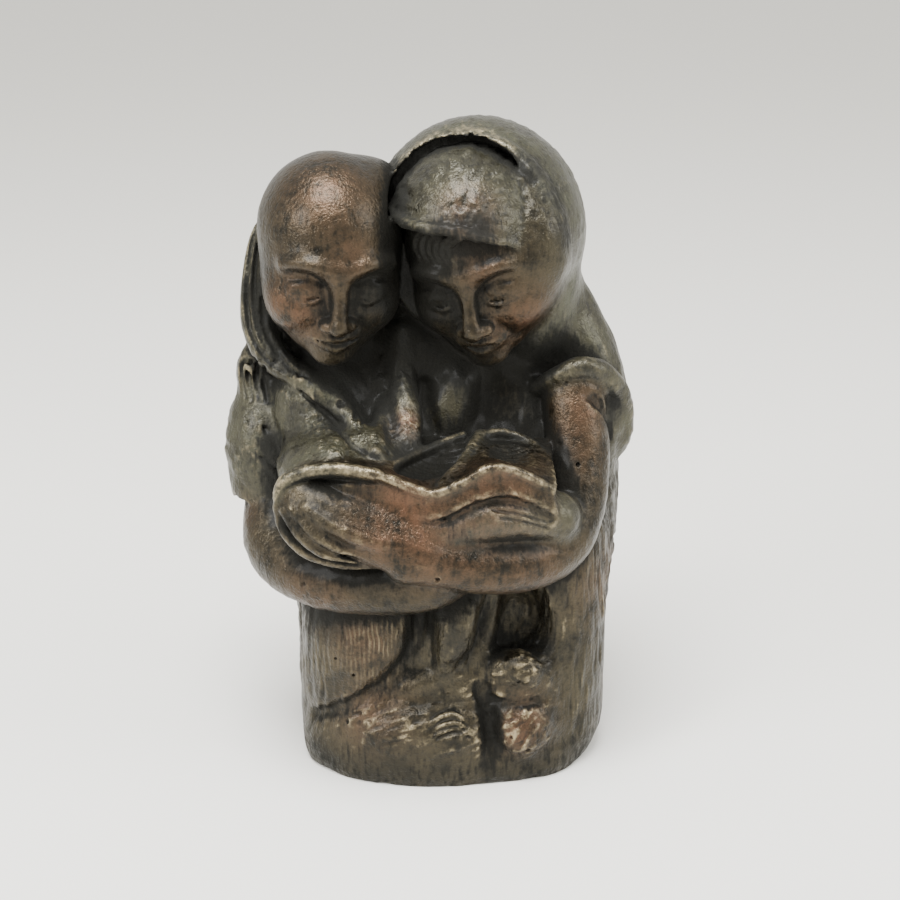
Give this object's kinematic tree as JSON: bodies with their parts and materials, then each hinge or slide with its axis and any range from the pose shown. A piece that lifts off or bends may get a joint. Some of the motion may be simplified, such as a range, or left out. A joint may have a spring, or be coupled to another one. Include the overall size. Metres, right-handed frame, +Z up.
{
  "type": "bronze reading group sculpture",
  "caption": "Small cast bronze of seated children, heads together and arms crossed, reading an open book, on a low rounded base cast with them.",
  "frame": {"origin": "point of the flat underside near the middle of the block, on the table", "axes": "+Z up, +X to the viewer's right as the group faces the viewer, -Y to the front, where the book is held"},
  "size_m": [0.1277, 0.103, 0.2],
  "materials": {
    "patinated_bronze": "dark brown to green waxed patina, rubbed to copper on the high parts"
  },
  "bodies": {
    "root": {"boys_reading_sculpture": "patinated_bronze"}
  },
  "joints": []
}
